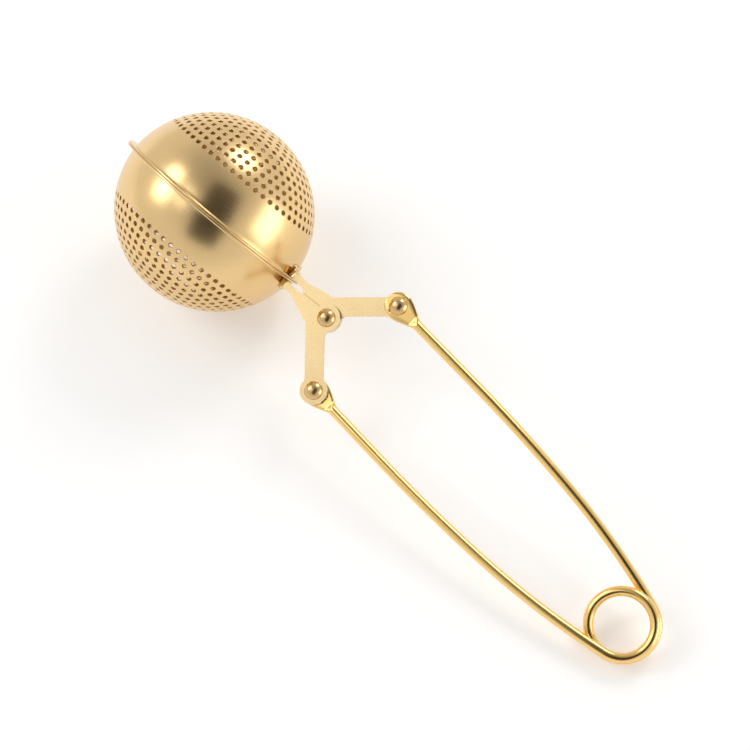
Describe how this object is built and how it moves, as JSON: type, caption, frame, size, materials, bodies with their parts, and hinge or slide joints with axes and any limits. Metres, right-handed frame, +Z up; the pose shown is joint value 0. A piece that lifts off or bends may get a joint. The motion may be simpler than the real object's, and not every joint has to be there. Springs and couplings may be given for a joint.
{
  "type": "tea infuser",
  "caption": "Snap-ball tea infuser: two perforated half balls on riveted bell-crank levers, opened by squeezing a sprung wire handle with a coil at its end.",
  "frame": {"origin": "on the table, under the middle of the infuser's bounding box, as it lies at rest on the side of its left half, its flange rim and its coil", "axes": "+Z up; +X along the table from the ball to the coil; +Y along the table towards the right half; the levers lean about 24 degrees towards -Y, as the infuser does when it lies down"},
  "size_m": [0.1568, 0.0438, 0.0444],
  "materials": {
    "gold_sheet": "satin gold plating on stainless sheet",
    "gold_lever": "satin gold plating on stamped steel plate",
    "gold_wire": "polished gold plating on spring steel wire",
    "rivet_bronze": "polished dark gold"
  },
  "bodies": {
    "left_jaw": {"strainer_half_left": "gold_sheet", "lever_left": "gold_lever", "pivot_rivet": "rivet_bronze", "rivet_left": "rivet_bronze"},
    "right_jaw": {"strainer_half_right": "gold_sheet", "lever_right": "gold_lever", "rivet_right": "rivet_bronze"},
    "left_leg": {"handle_leg_left": "gold_wire", "handle_coil": "gold_wire"},
    "right_leg": {"handle_leg_right": "gold_wire"}
  },
  "joints": [
    {"name": "jaw_hinge", "type": "hinge", "parent": "left_jaw", "child": "right_jaw", "pos_m": [-0.01834, -0.00231, 0.01979], "axis": [-0.1179, 0.418, -0.9008], "range_deg": [0, 36], "stiffness_Nm_per_rad": 0.3, "springref_deg": -17.19},
    {"name": "left_leg_hinge", "type": "hinge", "parent": "left_jaw", "child": "left_leg", "pos_m": [-0.01096, -0.0147, 0.01308], "axis": [-0.1179, 0.418, -0.9008], "range_deg": [0, 20.62]},
    {"name": "coil_flex", "type": "hinge", "parent": "left_leg", "child": "right_leg", "pos_m": [0.07033, -0.00946, 0.00487], "axis": [-0.1179, 0.418, -0.9008], "range_deg": [-5.04, 0]}
  ],
  "couplings": [
    {"joint": "left_leg_hinge", "follows": "jaw_hinge", "ratio": 0.56718},
    {"joint": "coil_flex", "follows": "jaw_hinge", "ratio": -0.13436}
  ]
}
